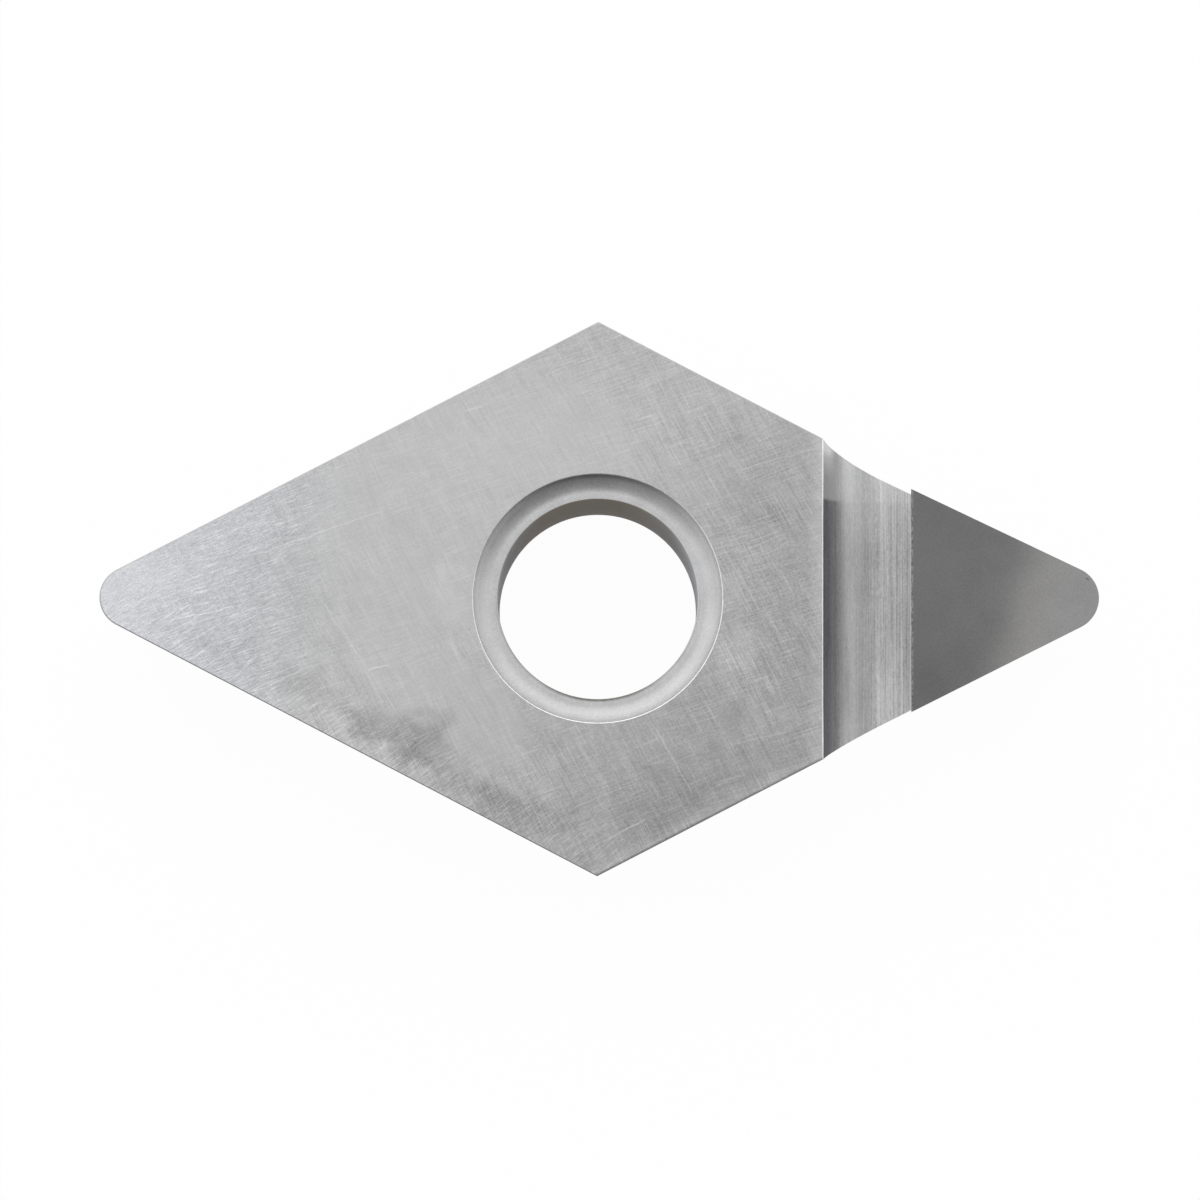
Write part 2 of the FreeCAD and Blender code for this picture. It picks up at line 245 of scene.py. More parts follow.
class Shell:
    """A closed mesh under construction, whose faces share their corners."""

    # Corners that lie closer than this are one, and edges that turn by more than this stay sharp
    WELD = 1e-9
    SHARP = math.radians(35)

    def __init__(self):
        self.corners = []
        self.numbers = {}
        self.faces = []
        self.finishes = []
        self.smooth = []

    def corner(self, point):
        """The number of the corner at a point, which is new where no corner lies there yet."""
        key = tuple(round(part / self.WELD) for part in point)
        if key not in self.numbers:
            self.numbers[key] = len(self.corners)
            self.corners.append(tuple(point))
        return self.numbers[key]

    def face(self, points, finish, smooth=False):
        """A face through the points, left out where fewer than three of them differ."""
        ring = []
        for point in points:
            number = self.corner(point)
            if number not in ring:
                ring.append(number)
        if len(ring) > 2:
            self.faces.append(ring)
            self.finishes.append(finish)
            self.smooth.append(smooth)

    def strip(self, one, other, finish, smooth=False, closed=False):
        """Faces between two rows of points."""
        count = len(one)
        for i in range(count if closed else count - 1):
            j = (i + 1) % count
            self.face([one[i], one[j], other[j], other[i]], finish, smooth)

    def strips(self, rows, finish, smooth=False):
        """Faces between each row of points and the next."""
        for one, other in zip(rows, rows[1:]):
            self.strip(one, other, finish, smooth)

    def sides(self, points, finish):
        """A flat face on the +Y side, and its twin on the -Y side."""
        self.face(points, finish)
        self.face(other_side(points), finish)

    def mesh(self, name, finishes):
        """The mesh of all faces, turned outwards and each in its finish."""
        mesh = bpy.data.meshes.new(name)
        mesh.from_pydata(self.corners, [], self.faces)
        names = list(finishes)
        for material in finishes.values():
            mesh.materials.append(material)
        shell = bmesh.new()
        shell.from_mesh(mesh)
        bmesh.ops.recalc_face_normals(shell, faces=shell.faces)
        shell.to_mesh(mesh)
        shell.free()
        mesh.set_sharp_from_angle(angle=self.SHARP)
        for polygon, finish, smooth in zip(mesh.polygons, self.finishes, self.smooth):
            polygon.material_index = names.index(finish)
            polygon.use_smooth = smooth
        return mesh


def circle(radius, level, steps):
    """A ring of points about the bore's axis, starting on +X."""
    turns = (2 * math.pi * step / steps for step in range(steps))
    return [Vector((radius * math.cos(turn), radius * math.sin(turn), level)) for turn in turns]


def ring_faces(shell, outline, hole, finish):
    """A flat face round the bore, in two halves that meet along X. outline runs from +X over +Y."""
    half = len(hole) // 2
    middle = next(i for i, point in enumerate(outline) if point.x < 0 and abs(point.y) < Shell.WELD)
    north = outline[: middle + 1] + hole[half::-1]
    south = outline[middle:] + [outline[0]] + [hole[0]] + hole[:half - 1:-1]
    shell.face(north, finish)
    shell.face(south, finish)


class Recess:
    """The side line of the chip recess: a rounded edge, the groove, and the floor up to the tip."""

    HONE_STEPS = 4

    def __init__(self, sizes):
        radius = sizes.recess_radius
        turns = (math.pi / 2 * step / self.HONE_STEPS for step in range(self.HONE_STEPS + 1))
        self.hone = [
            (sizes.hone * (1 - math.cos(turn)), sizes.thickness - sizes.hone * (1 - math.sin(turn)))
            for turn in turns
        ]
        run = math.sqrt(radius**2 - (radius - sizes.recess_depth) ** 2)
        centre = Vector((sizes.recess_start + run, sizes.thickness - sizes.recess_depth + radius))
        lower = centre.y - (sizes.thickness - sizes.hone)
        start = math.atan2(-lower, -math.sqrt(radius**2 - lower**2)) % (2 * math.pi)
        end = 1.5 * math.pi + sizes.rake
        self.centre, self.radius, self.start, self.end = centre, radius, start, end
        edge = self.on_groove(start)
        # Each step of the hone is met by a point of the recess's edge at the same level
        self.edge = [Vector((edge.x - inset, level)) for inset, level in self.hone]

        along = Vector((math.cos(sizes.rake), math.sin(sizes.rake)))
        self.along = along
        self.out = Vector((-along.y, along.x))
        self.corner = Vector((sizes.tip_back, sizes.thickness - sizes.tip_drop))
        lowest = self.on_groove(end)
        self.step_down = (self.corner - lowest).dot(self.out)
        self.floor_end = self.corner - self.out * self.step_down - along * sizes.braze
        self.lowest = lowest

    def on_groove(self, turn):
        return self.centre + self.radius * Vector((math.cos(turn), math.sin(turn)))

    def stations(self, spacing):
        """Points down the groove and along the floor, with the way out of the surface and the path."""
        arc = self.radius * (self.end - self.start)
        floor = (self.floor_end - self.lowest).length
        rows = []
        count = round(arc / spacing)
        for i in range(count):
            turn = self.start + (self.end - self.start) * i / count
            way = -Vector((math.cos(turn), math.sin(turn)))
            rows.append((self.on_groove(turn), way, arc * i / count))
        count = round(floor / spacing)
        for i in range(count + 1):
            place = self.lowest.lerp(self.floor_end, i / count)
            rows.append((place, self.out, arc + floor * i / count))
        return rows


class TipFrame:
    """Places on the outline by how far they lie along the rake face and under it."""

    def __init__(self, sizes):
        self.blank, self.recess = Blank(sizes), Recess(sizes)
        self.slope = math.tan(sizes.rake)

    def point(self, along, under):
        return self.recess.corner + self.recess.along * along - self.recess.out * under

    def side(self, along, under):
        """The point of the +Y flank there, counted from the tip's back edge."""
        return self.blank.flank(self.point(along, under))

    def nose(self, under):
        """The line round the +X nose at a distance under the rake face."""
        place = self.point(0, under)
        return self.blank.nose_curve(place.y - self.slope * place.x, self.slope)


def wrap(points):
    """A row from the +Y flank round the nose to the -Y flank, from its +Y half."""
    return points + other_side(points[-2::-1] if abs(points[-1].y) < Shell.WELD else points[::-1])


def across(point):
    """A row of points from a point of the +Y flank straight across to the -Y flank."""
    shares = (1 - 2 * step / ACROSS_STEPS for step in range(ACROSS_STEPS + 1))
    return [Vector((point.x, point.y * share, point.z)) for share in shares]


def bore_profile(sizes):
    """Radius, level and finish of each ring of the bore, from the seat up to its dish's rim."""
    radius, edge, curve = sizes.bore_radius, sizes.bore_edge, sizes.dish_curve
    land_level = sizes.thickness - sizes.dish_depth
    profile = [(radius + sizes.bore_break, 0.0, "bore"), (radius, sizes.bore_break, "bore")]
    for step in range(BORE_EDGE_STEPS + 1):
        turn = math.pi / 2 * step / BORE_EDGE_STEPS
        level = land_level - edge * (1 - math.sin(turn))
        finish = "bore" if step < BORE_EDGE_STEPS else "dish"
        profile.append((radius + edge * (1 - math.cos(turn)), level, finish))
    land_end = radius + sizes.dish_land
    steepest = math.acos(1 - sizes.dish_depth / curve)
    for step in range(DISH_STEPS):
        turn = steepest * step / DISH_STEPS
        level = land_level + curve * (1 - math.cos(turn))
        profile.append((land_end + curve * math.sin(turn), level, "dish"))
    mouth, rim = land_end + curve * math.sin(steepest), sizes.dish_edge
    out = mouth + rim * (1 - math.cos(steepest)) / math.sin(steepest)
    for step in range(MOUTH_STEPS + 1):
        turn = steepest * (1 - step / MOUTH_STEPS)
        level = sizes.thickness - rim + rim * math.cos(turn)
        profile.append((out - rim * math.sin(turn), level, "mouth"))
    return profile


def build_body(sizes, finishes):
    """The carbide body, with its dished bore, chip recess and tip seat."""
    tip, shell = TipFrame(sizes), Shell()
    blank, recess = tip.blank, tip.recess
    stations = recess.stations(ROW_SPACING)

    # Rims of the top face, one for each step of the hone, from the recess round the -X nose
    rims = []
    for (inset, level), edge in zip(recess.hone, recess.edge):
        half = [blank.flank(edge, inset), blank.flank((0, level), inset)]
        half += other_end(blank.nose_curve(level, inset=inset))
        rims.append(half + other_side(half[-2::-1]))
    shell.strips(rims, "rim", smooth=True)

    # Edge of the recess
    edge_rows = [across(rim[0]) for rim in rims]
    shell.strips(edge_rows, "edge", smooth=True)

    # Bore, from the seat face up to the rim of its dish
    profile = bore_profile(sizes)
    rings = [circle(out, level, BORE_STEPS) for out, level, _ in profile]
    for lower, upper, (_, _, finish) in zip(rings, rings[1:], profile):
        shell.strip(lower, upper, finish, smooth=True, closed=True)

    # Top face, from the middle of the recess's edge all the way round, and seat face
    row, middle = edge_rows[-1], ACROSS_STEPS // 2
    head = row[middle::-1] + rims[-1][1:-1] + row[:middle:-1]
    ring_faces(shell, head, rings[-1], "ground")
    foot_nose = blank.nose_curve(0)
    foot_half = foot_nose[::-1] + [blank.flank((0, 0))] + other_end(foot_nose)
    foot = foot_half + other_side(foot_half[-2:0:-1])
    ring_faces(shell, foot, rings[0], "seat")

    # Chip recess, seat wall and seat floor
    rows = [across(blank.flank(place)) for place, _, _ in stations]
    shell.strip(rows[0], edge_rows[0], "recess")
    shell.strips(rows, "recess")
    seat_depth = sizes.tip_thickness + sizes.braze
    wall_row = across(tip.side(-sizes.braze, seat_depth))
    shell.strip(rows[-1], wall_row, "seat")
    seat_nose = tip.nose(seat_depth)
    shell.face(wrap(seat_nose) + wall_row[::-1], "seat")

    # Flanks and noses
    north_east = [row[0] for row in rows] + [wall_row[0], seat_nose[0], foot_nose[0]]
    north_east += [blank.flank((0, 0)), rims[0][1]]
    shell.sides(north_east, "flank")
    west_nose, west_foot = other_end(blank.nose_curve(recess.hone[0][1])), other_end(foot_nose)
    north_west = [rims[0][1], blank.flank((0, 0)), west_foot[0], west_nose[0]]
    shell.sides(north_west, "flank")
    shell.strip(wrap(west_nose), wrap(west_foot), "flank", smooth=True)
    shell.strip(wrap(seat_nose), wrap(foot_nose), "flank", smooth=True)

    mesh = shell.mesh("carbide_body", finishes)
    store_grinding(mesh, shell, stations, rows)
    return mesh


def store_grinding(mesh, shell, stations, rows):
    """Keeps, on each point of the recess, the way out of its surface and how far down it lies."""
    ways = [0.0] * (3 * len(shell.corners))
    paths = [0.0] * len(shell.corners)
    for (_, way, travelled), row in zip(stations[1:-1], rows[1:-1]):
        for point in row:
            number = shell.corner(point)
            ways[3 * number:3 * number + 3] = (way.x, 0.0, way.y)
            paths[number] = travelled
    mesh.attributes.new("way_out", "FLOAT_VECTOR", "POINT").data.foreach_set("vector", ways)
    mesh.attributes.new("path", "FLOAT", "POINT").data.foreach_set("value", paths)


def build_tip(sizes, finishes):
    """The tip: a raked plate whose upper layer is diamond."""
    tip, shell = TipFrame(sizes), Shell()
    depths = (0.0, sizes.diamond_layer, sizes.tip_thickness)
    rows = [wrap([tip.side(0, under)] + tip.nose(under)) for under in depths]
    for upper, lower, finish in zip(rows, rows[1:], ("edge", "backing")):
        for i in range(len(upper) - 1):
            flat = i in (0, len(upper) - 2)
            shell.face([upper[i], upper[i + 1], lower[i + 1], lower[i]], finish, not flat)
        shell.face([upper[0], upper[-1], lower[-1], lower[0]], "back")
    shell.face(rows[0], "rake")
    shell.face(rows[-1], "backing")
    return shell.mesh("diamond_corner", finishes)


def build_braze(sizes, finishes):
    """The braze: a film under the tip that turns up behind it, flush with the recess floor."""
    tip, shell = TipFrame(sizes), Shell()
    seat_depth = sizes.tip_thickness + sizes.braze
    floor_depth = tip.recess.step_down
    outer, inner = tip.side(-sizes.braze, seat_depth), tip.side(0, sizes.tip_thickness)
    top_outer, top_inner = tip.side(-sizes.braze, floor_depth), tip.side(0, floor_depth)
    outer_nose, inner_nose = tip.nose(seat_depth), tip.nose(sizes.tip_thickness)
    walls = [wrap([point]) for point in (outer, top_outer, top_inner, inner)]
    shell.strips(walls, "braze")
    shell.face(wrap([outer] + outer_nose), "braze")
    shell.face(wrap([inner] + inner_nose), "braze")
    shell.strip(wrap(outer_nose), wrap(inner_nose), "braze", smooth=True)
    side = [outer, top_outer, top_inner, inner, inner_nose[0], outer_nose[0]]
    shell.sides(side, "braze")
    return shell.mesh("braze_film", finishes)


def add_object(name, data):
    """A new object in the scene, at the origin."""
    made = bpy.data.objects.new(name, data)
    bpy.context.scene.collection.objects.link(made)
    return made


# Node trees


class Nodes:
    """A node tree under construction."""

    def __init__(self, tree):
        self.tree = tree
        tree.nodes.clear()

    def feed(self, socket, value):
        """Gives an input a plain value, or joins it to another node's output."""
        if isinstance(value, bpy.types.NodeSocket):
            self.tree.links.new(value, socket)
        else:
            socket.default_value = value

    def new(self, kind, inputs=(), **settings):
        """A new node with its settings, and its inputs by name or number."""
        node = self.tree.nodes.new(kind)
        for key, value in settings.items():
            setattr(node, key, value)
        for key, value in dict(inputs).items():
            self.feed(node.inputs[key], value)
        return node

    def math(self, operation, *values):
        return self.new("ShaderNodeMath", enumerate(values), operation=operation).outputs[0]

    def times(self, one, other):
        return self.math("MULTIPLY", one, other)

    def vector(self, operation, one, other=None):
        inputs = {0: one}
        if other is not None:
            inputs["Scale" if operation == "SCALE" else 1] = other
        node = self.new("ShaderNodeVectorMath", inputs, operation=operation)
        return node.outputs["Value" if operation in ("LENGTH", "DOT_PRODUCT") else "Vector"]


# Grinding marks


def grinding_tree():
    """Geometry nodes that cut fine ridges along Y into the chip recess."""
    tree = bpy.data.node_groups.new("Grinding marks", "GeometryNodeTree")
    tree.interface.new_socket("Geometry", in_out="OUTPUT", socket_type="NodeSocketGeometry")
    for name, kind in (
        ("Geometry", "Geometry"),
        ("Depth", "Float"),
        ("Spacing", "Float"),
        ("Seed", "Float"),
        ("Finish", "Material"),
    ):
        tree.interface.new_socket(name, in_out="INPUT", socket_type="NodeSocket" + kind)
    nodes = Nodes(tree)

    def stored(name, kind):
        """What the mesh keeps under a name."""
        node = nodes.new("GeometryNodeInputNamedAttribute", {"Name": name}, data_type=kind)
        return node.outputs["Attribute"]

    inside = nodes.new("NodeGroupInput").outputs
    steps = nodes.math("DIVIDE", stored("path", "FLOAT"), inside["Spacing"])
    place = nodes.math("ADD", steps, inside["Seed"])
    lumps = {"W": place, "Scale": 1.0, "Detail": 3.0, "Roughness": 0.7}
    noise = nodes.new("ShaderNodeTexNoise", lumps, noise_dimensions="1D").outputs["Fac"]
    cut = nodes.times(nodes.math("MULTIPLY_ADD", noise, 2.0, -1.0), inside["Depth"])
    offset = nodes.vector("SCALE", stored("way_out", "FLOAT_VECTOR"), cut)
    shift = {"Geometry": inside["Geometry"], "Offset": offset}
    moved = nodes.new("GeometryNodeSetPosition", shift).outputs[0]
    whole = nodes.new("GeometryNodeRealizeInstances", {"Geometry": moved}).outputs[0]
    chosen = stored("in_recess", "BOOLEAN")
    finish = {"Geometry": whole, "Selection": chosen, "Material": inside["Finish"]}
    finished = nodes.new("GeometryNodeSetMaterial", finish).outputs[0]
    nodes.new("NodeGroupOutput", {"Geometry": finished})
    return tree


def apply_tree(piece, tree, inputs):
    """Runs a geometry node tree on a piece and keeps the plain mesh that it makes."""
    modifier = piece.modifiers.new(tree.name, "NODES")
    modifier.node_group = tree
    for item in tree.interface.items_tree:
        if item.name in inputs:
            modifier[item.identifier] = inputs[item.name]
    depsgraph = bpy.context.evaluated_depsgraph_get()
    made = bpy.data.meshes.new_from_object(piece.evaluated_get(depsgraph))
    piece.modifiers.clear()
    made.name = piece.data.name
    piece.data = made


# Finishes


class Finish(Nodes):
    """A material under construction. Lengths in its patterns are in millimetres."""

    def __init__(self, name):
        self.material = bpy.data.materials.new(name)
        self.material.use_nodes = True
        super().__init__(self.material.node_tree)
        self.place = self.vector("SCALE", self.new("ShaderNodeTexCoord").outputs["Object"], 1 / MM)

    def between(self, value, low, high, to_low=0.0, to_high=1.0, curve="LINEAR"):
        """value's place between low and high, as a number from to_low to to_high."""
        inputs = enumerate((value, low, high, to_low, to_high))
        node = self.new("ShaderNodeMapRange", inputs, clamp=True, interpolation_type=curve)
        return node.outputs[0]

    def toward(self, way, place=None):
        """How far towards a way a place lies from the origin."""
        return self.vector("DOT_PRODUCT", place or self.place, way)

    def local(self, centre, size, turn=0.0, place=None):
        """Coordinates that are 0 at centre and 1 at size from it, turned about Z by degrees."""
        inputs = {"Vector": place or self.place, "Location": centre, "Scale": size}
        inputs["Rotation"] = (0, 0, math.radians(turn))
        return self.new("ShaderNodeMapping", inputs, vector_type="TEXTURE").outputs[0]

    def noise(
        self, size, shift=(0, 0, 0), turn=0.0, detail=2.0, roughness=0.5, place=None, result="Fac"
    ):
        """Noise whose lumps are size wide along three axes, the first two turned about Z."""
        inputs = {"Vector": self.local(shift, size, turn, place)}
        inputs.update({"Scale": 1.0, "Detail": detail, "Roughness": roughness})
        return self.new("ShaderNodeTexNoise", inputs).outputs[result]

    def ragged(self, size, reach, detail=2.0):
        """The place, shifted to and fro by up to about half of reach."""
        shift = self.noise(size, detail=detail, result="Color")
        shift = self.vector("SUBTRACT", shift, (0.5, 0.5, 0.5))
        return self.vector("ADD", self.place, self.vector("SCALE", shift, reach))

    def patch(self, centre, radii, turn=0.0, place=None):
        """1 at the centre of a patch of the top face, and 0 from its edge outwards."""
        size = (radii[0], radii[1], max(radii))
        away = self.vector("LENGTH", self.local((*centre, THICKNESS / MM), size, turn, place))
        return self.between(away, 1.0, 0.0, curve="SMOOTHERSTEP")

    def far_side(self):
        """How far towards +Y, and a little towards -X, a place lies, less 1 mm."""
        beyond = self.total(-1.0, (self.toward((-0.2, 0.98, 0)), 1.0))
        return self.math("MAXIMUM", beyond, 0.0)

    def scratch(self, start, end, width, place=None):
        """1 on a scratch between two points, and 0 off it."""
        run = Vector(end) - Vector(start)
        centre = (Vector(start) + Vector(end)) / 2
        size = (run.length / 2, width / 2, 1)
        turn = math.degrees(math.atan2(run.y, run.x))
        mapped = self.local((*centre, 0), size, turn, place)
        parts = self.new("ShaderNodeSeparateXYZ", {0: mapped}).outputs
        along = self.between(self.math("ABSOLUTE", parts[0]), 1.0, 0.7)
        across = self.between(self.math("ABSOLUTE", parts[1]), 1.0, 0.2)
        return self.times(along, across)

    def total(self, constant, *terms):
        """A constant plus each term: the product of one or two values and their weight."""
        result = constant
        for *values, weight in terms:
            value = self.times(*values) if len(values) > 1 else values[0]
            result = self.math("MULTIPLY_ADD", value, weight, result)
        return result

    def blend(self, share, one, other):
        """The colour one, going over to other as share goes from 0 to 1."""
        node = self.new("ShaderNodeMix", {"Factor": share}, data_type="RGBA")
        for name, colour in (("A", one), ("B", other)):
            socket = next(s for s in node.inputs if s.name == name and s.type == "RGBA")
            self.feed(socket, (*colour, 1))
        return next(s for s in node.outputs if s.type == "RGBA")

    def metal(self, colour, tone, roughness, height=None, depth=0.0, metallic=1.0, specular=0.5):
        """A metal whose colour is scaled by tone, with a bump that is depth high in metres."""
        inputs = {"Base Color": self.vector("SCALE", colour, tone), "Metallic": metallic}
        inputs.update({"Specular IOR Level": specular, "Roughness": roughness})
        if height is not None:
            bump = self.new("ShaderNodeBump", {"Distance": depth, "Height": height})
            inputs["Normal"] = bump.outputs[0]
        shader = self.new("ShaderNodeBsdfPrincipled", inputs)
        self.new("ShaderNodeOutputMaterial", {"Surface": shader.outputs[0]})
        return self.material


# Lighter and darker places of the top face, partly painted light and shade and partly its own
# uneven tone: centre and radii in millimetres, turn in degrees, and how much darker the place
# is, or lighter where that is below 0
PATCHES = (
    ((-4.7, -3.5), (1.7, 1.0), -25, 0.32),
    ((-7.6, -2.3), (1.8, 0.75), -27, 0.14),
    ((-6.1, -3.2), (1.3, 0.65), -27, 0.25),
    ((-4.7, -4.1), (1.2, 0.6), -27, 0.24),
    ((-0.9, -5.6), (0.9, 0.6), -27, 0.09),
    ((-9.7, -1.3), (1.6, 0.8), -27, 0.08),
    ((-2.6, -5.3), (3.0, 0.8), -27, 0.21),
    ((-1.8, -4.2), (1.4, 0.8), -35, -0.07),
    ((-1.1, -3.6), (0.6, 0.5), 0, 0.06),
    ((1.7, -5.2), (3.0, 1.3), 27, 0.09),
    ((4.0, 2.3), (1.5, 1.1), -30, 0.11),
    ((3.4, 0.3), (0.5, 0.8), 0, -0.12),
    ((3.2, 4.0), (2.4, 0.9), -30, 0.05),
    ((-1.6, 3.9), (5.5, 2.6), 12, -0.05),
    ((3.7, -1.6), (0.8, 1.7), 20, -0.15),
    ((4.7, -1.0), (0.7, 0.7), 0, -0.05),
    ((3.1, -1.6), (0.6, 1.2), 20, -0.15),
    ((3.7, 1.2), (1.2, 0.35), 15, -0.06),
    ((4.6, -2.9), (1.8, 1.2), 10, -0.09),
    ((1.5, 4.5), (1.0, 0.6), -27, -0.06),
    ((4.6, 3.4), (0.9, 0.9), 0, 0.04),
    ((0.0, -6.2), (1.2, 0.8), 0, -0.05),
    ((-3.8, 0.2), (0.8, 1.5), 0, -0.08),
    ((-7.6, 0.0), (1.2, 1.4), 0, 0.05),
    ((-9.3, 1.8), (2.2, 0.8), 27, -0.07),
    ((-10.8, -0.3), (1.5, 0.9), 0, 0.09),
    ((-12.2, 0.2), (3.8, 2.8), 0, -0.20),
)
# Single scratches on the top face: both ends and the width in millimetres, and the strength
SCRATCHES = (
    ((-9.1, 1.0), (-5.4, 2.3), 0.04, 0.22),
    ((-8.1, 1.5), (-6.6, 2.6), 0.03, 0.14),
    ((-11.4, -0.7), (-9.2, -0.2), 0.04, 0.28),
    ((-7.5, 0.5), (-4.3, -4.2), 0.04, 0.14),
    ((-5.95, -1.85), (-5.3, -1.75), 0.05, 0.25),
    ((-8.75, -2.45), (-7.3, -1.7), 0.035, 0.26),
    ((-9.6, -1.9), (-8.2, -1.3), 0.03, 0.18),
    ((-7.5, -3.1), (-6.3, -2.7), 0.03, 0.16),
    ((-6.9, -3.4), (-5.5, -2.8), 0.03, 0.16),
    ((-6.5, -3.75), (-5.4, -3.35), 0.03, 0.18),
    ((-6.3, -4.2), (-5.3, -3.75), 0.04, 0.20),
    ((-5.4, -4.5), (-4.5, -4.1), 0.03, 0.16),
    ((-11.6, -0.3), (-9.2, 0.45), 0.03, 0.16),
    ((-10.4, 0.9), (-8.4, 1.35), 0.03, 0.18),
    ((-1.3, 6.0), (0.9, 6.4), 0.03, 0.16),
    ((-3.5, 4.85), (-2.9, 4.95), 0.03, 0.16),
    ((0.3, 3.7), (0.9, 3.85), 0.04, 0.18),
    ((3.4, 3.25), (5.8, 3.95), 0.04, 0.20),
    ((3.6, 4.45), (4.2, 4.9), 0.03, 0.14),
    ((-3.8, 0.35), (-3.2, 0.65), 0.03, 0.14),
    ((0.1, -6.3), (1.35, -5.6), 0.05, 0.26),
    ((1.4, -3.2), (2.5, -5.1), 0.05, 0.26),
    ((3.0, -4.85), (3.85, -4.5), 0.04, 0.22),
    ((3.5, -3.75), (5.0, -3.4), 0.04, 0.20),
)


def ground_finish(colours):
    """Top face: crossed scratches, flecked at the -X end and hatched along the -X -Y edge."""
    finish = Finish("ground_carbide")

    # Where the face is calm, grained or lively, with ragged borders, and how worn it looks there
    ragged = finish.ragged((0.7, 0.7, 1), 1.6)
    swept = finish.ragged((6.0, 6.0, 1), 0.6, detail=0.0)
    calm = finish.math(
        "MAXIMUM",
        finish.patch((-3.0, 2.4), (6.5, 4.6), 22, ragged),
        finish.patch((-4.2, -2.2), (4.2, 1.9), -41, ragged),
    )
    calm = finish.between(calm, 0.04, 0.30)
    lengthwise = finish.toward((1, -0.15, 0), ragged)
    nose = finish.between(lengthwise, -6.5, -10.0)
    grained = finish.between(lengthwise, -6.3, -8.6)
    lively = finish.patch((4.3, -0.3), (2.6, 4.5), 0.0, ragged)
    worn = finish.total(0.84, (calm, -0.38), (grained, -0.4), (lively, 0.3))

    # Scratches that rise and fall across the face, each kind with its own places and bright cuts
    up, down = 19, -63
    rising = finish.noise((0.9, 0.03, 1), turn=up, detail=1, place=swept)
    falling = finish.noise((1.0, 0.03, 1), (3, 5, 0), down, detail=1, place=swept)
    bands = finish.noise((1.5, 0.16, 1), (5, 5, 0), down, place=swept)
    rising_places = finish.between(finish.noise((1.8, 1.3, 1), (4, 2, 0)), 0.36, 0.66)
    falling_places = finish.between(finish.noise((1.5, 1.9, 1), (8, 3, 0)), 0.34, 0.64)
    top = finish.between(finish.patch((0.5, 6.4), (3.0, 2.6), 0.0, ragged), 0.1, 0.5)
    rising_places = finish.math("MAXIMUM", rising_places, top)
    falling_places = finish.times(falling_places, finish.total(1.0, (top, -0.8)))
    rising_cuts = finish.noise((0.8, 0.03, 1), (7, 1, 0), up, detail=0, place=swept)
    falling_cuts = finish.noise((1.1, 0.03, 1), (2, 7, 0), down, detail=0, place=swept)
    grain = finish.noise((0.055, 0.055, 1), (2, 9, 0), detail=1)
    mottle = finish.noise((0.5, 0.4, 1), (6, 4, 0), -50, detail=2)
    streaks = finish.total(
        -0.49,
        (finish.total(-0.5, (rising, 1.0)), rising_places, 0.55),
        (finish.total(-0.5, (falling, 1.0)), falling_places, 0.65),
        (finish.between(rising_cuts, 0.66, 0.76), 0.16),
        (finish.between(falling_cuts, 0.66, 0.76), 0.16),
        (bands, 0.22),
        (grain, 0.46),
        (mottle, 0.24),
    )

    # Flecks, dashes and sparkle of the grained end
    flecks = finish.noise((0.14, 0.027, 1), (1, 1, 0), 25, detail=1)
    dashes = finish.noise((0.5, 0.021, 1), (3, 1, 0), 20, detail=0)
    sparkle = finish.noise((0.03, 0.03, 1), (1, 8, 0), detail=0)
    dotted = finish.total(
        -0.52,
        (flecks, 0.54),
        (sparkle, 0.46),
        (finish.between(dashes, 0.61, 0.71), finish.between(lengthwise, -12.4, -10.6), 0.28),
    )

    # Painted shade towards the +X -Y edge, a bright strip and a dark line of painted shade on it, and
    # strokes along the -X -Y one
    shade = finish.between(finish.toward((0.8, -0.8, 0), ragged), -1.5, 6.0)
    to_edge = finish.toward((*-FLANK_NORMAL.xy.normalized(), 0))
    to_hatch = finish.toward((FLANK_NORMAL.x, -FLANK_NORMAL.y, 0), ragged)
    strokes = finish.noise((0.5, 0.023, 1), (6, 2, 0), 36, detail=0, place=swept)
    tone = finish.total(
        0.98,
        (calm, 0.03),
        (streaks, worn, 1.0),
        (dotted, grained, 1.0),
        (shade, -0.20),
        (finish.between(to_edge, 6.00, 6.26), 0.12),
        (finish.between(to_edge, 6.27, 6.31), -0.40),
        (finish.between(strokes, 0.59, 0.69), finish.between(to_hatch, 4.6, 5.9), 0.24),
        (finish.between(finish.toward(ALONG), 5.35, 5.78), 0.20),
    )

    # Single patches and scratches
    for centre, radii, turn, darker in PATCHES:
        tone = finish.total(tone, (finish.patch(centre, radii, turn, ragged), -darker))
    wavy = finish.ragged((0.5, 0.5, 1), 0.12)
    for start, end, width, strength in SCRATCHES:
        tone = finish.total(tone, (finish.scratch(start, end, width, wavy), strength))
    colour = finish.blend(nose, colours.ground, colours.nose)
    height = finish.total(0.0, (rising, 0.5), (falling, 0.5))
    return finish.metal(colour, tone, roughness=0.30, height=height, depth=SCRATCH_DEPTH)


def edge_finish(colours):
    """Edge of the recess, painted bright as a highlight where it catches the light."""
    finish = Finish("highlit_edge")
    nicks = finish.noise((0.15, 0.15, 0.15), detail=3, roughness=0.7)
    return finish.metal(colours.edge, finish.total(0.9, (nicks, 0.6)), roughness=0.25)


